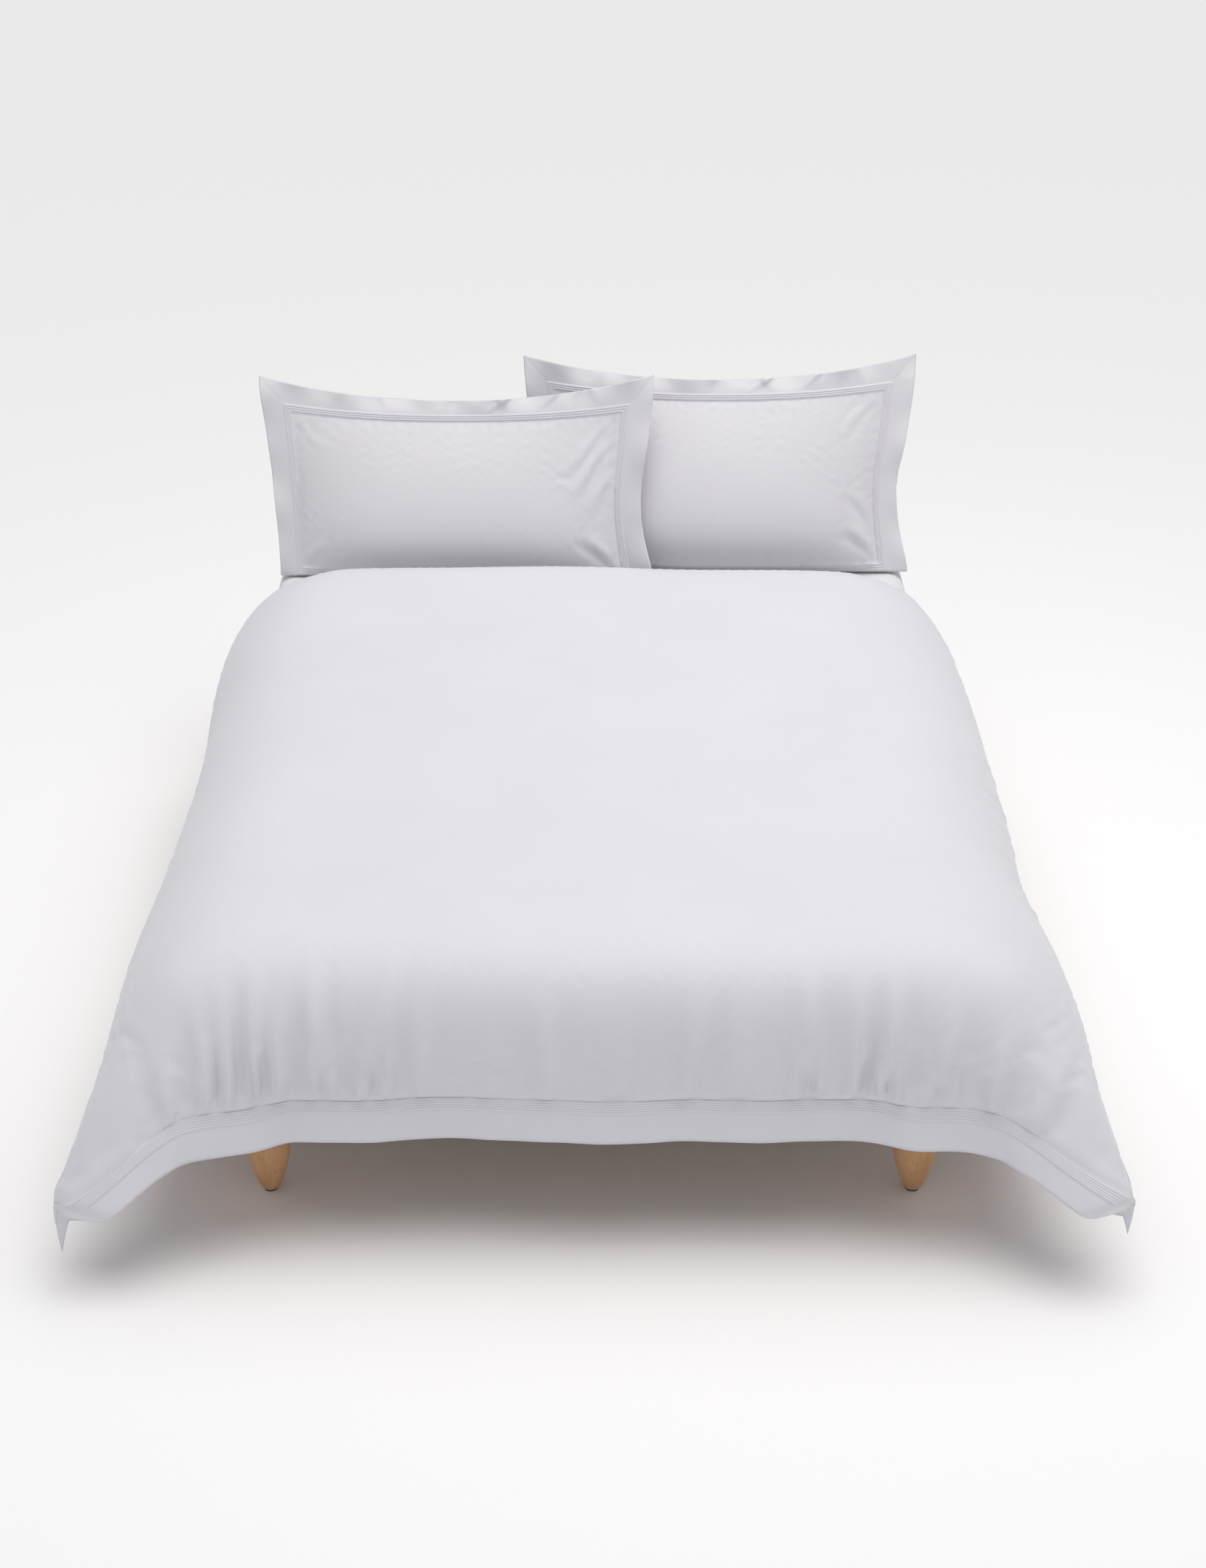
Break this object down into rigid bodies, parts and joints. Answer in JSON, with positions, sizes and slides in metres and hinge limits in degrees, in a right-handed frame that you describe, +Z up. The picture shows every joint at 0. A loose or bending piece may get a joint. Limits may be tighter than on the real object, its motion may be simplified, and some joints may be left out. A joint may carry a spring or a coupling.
{
  "type": "dressed double bed with duvet",
  "caption": "Double bed with a turned-leg slatted base, mattress and fitted sheet, dressed with a draped flanged duvet and standing flanged pillows.",
  "frame": {"origin": "on the floor under the middle of the mattress, at the foot of the centre leg", "axes": "+Y from the foot of the bed to its head, +Z up, +X to the right of someone looking at the bed from its foot"},
  "size_m": [1.7148, 2.0914, 0.931],
  "materials": {
    "duvet_cotton": "satin-weave cotton, soft sheen",
    "pillow_cotton": "satin-weave cotton, soft sheen",
    "sheet_cotton": "plain-weave cotton, matt",
    "filling": "soft filling in a plain casing",
    "ticking": "quilted knitted ticking",
    "foam": "open-cell foam",
    "spring_unit": "non-woven pockets",
    "oak": "oiled, satin",
    "birch": "planed, matt",
    "zinc_steel": "zinc plated",
    "felt": "dense felt",
    "button_shell": "polished"
  },
  "bodies": {
    "bed_frame": {"foot_rail": "oak", "head_rail": "oak", "left_side_rail": "oak", "right_side_rail": "oak", "centre_rail": "birch", "left_cleat": "birch", "right_cleat": "birch", "slat_01": "birch", "slat_02": "birch", "slat_03": "birch", "slat_04": "birch", "slat_05": "birch", "slat_06": "birch", "slat_07": "birch", "slat_08": "birch", "slat_09": "birch", "slat_10": "birch", "slat_11": "birch", "slat_12": "birch", "foot_left_corner_block": "birch", "foot_left_leg": "oak", "foot_left_glide": "felt", "foot_left_leg_bolt": "zinc_steel", "foot_right_corner_block": "birch", "foot_right_leg": "oak", "foot_right_glide": "felt", "foot_right_leg_bolt": "zinc_steel", "head_left_corner_block": "birch", "head_left_leg": "oak", "head_left_glide": "felt", "head_left_leg_bolt": "zinc_steel", "head_right_corner_block": "birch", "head_right_leg": "oak", "head_right_glide": "felt", "head_right_leg_bolt": "zinc_steel", "centre_leg": "birch", "centre_glide": "felt", "centre_leg_bolt": "zinc_steel"},
    "mattress": {"mattress_base_panel": "ticking", "mattress_border": "ticking", "mattress_spring_core": "spring_unit", "mattress_comfort_layer": "foam", "mattress_top_panel": "ticking", "fitted_sheet": "sheet_cotton"},
    "duvet": {"duvet_cover_underside": "duvet_cotton", "duvet_insert": "filling", "duvet_cover_top": "duvet_cotton", "cover_button_1": "button_shell", "cover_button_2": "button_shell", "cover_button_3": "button_shell", "cover_button_4": "button_shell", "cover_button_5": "button_shell"},
    "left_pillow": {"left_pillowcase_front": "pillow_cotton", "left_pillowcase_back": "pillow_cotton", "left_pillow_insert": "filling"},
    "right_pillow": {"right_pillowcase_front": "pillow_cotton", "right_pillowcase_back": "pillow_cotton", "right_pillow_insert": "filling"}
  },
  "joints": [
    {"name": "mattress_lift", "type": "slide", "parent": "bed_frame", "child": "mattress", "axis": [0, 0, 1], "range_m": [0, 0.3]},
    {"name": "duvet_lift", "type": "slide", "parent": "mattress", "child": "duvet", "axis": [0, 0, 1], "range_m": [0, 0.9]},
    {"name": "left_pillow_lift", "type": "slide", "parent": "mattress", "child": "left_pillow", "axis": [0, 0, 1], "range_m": [0, 0.5]},
    {"name": "right_pillow_lift", "type": "slide", "parent": "mattress", "child": "right_pillow", "axis": [0, 0.7071, 0.7071], "range_m": [0, 0.6]}
  ]
}
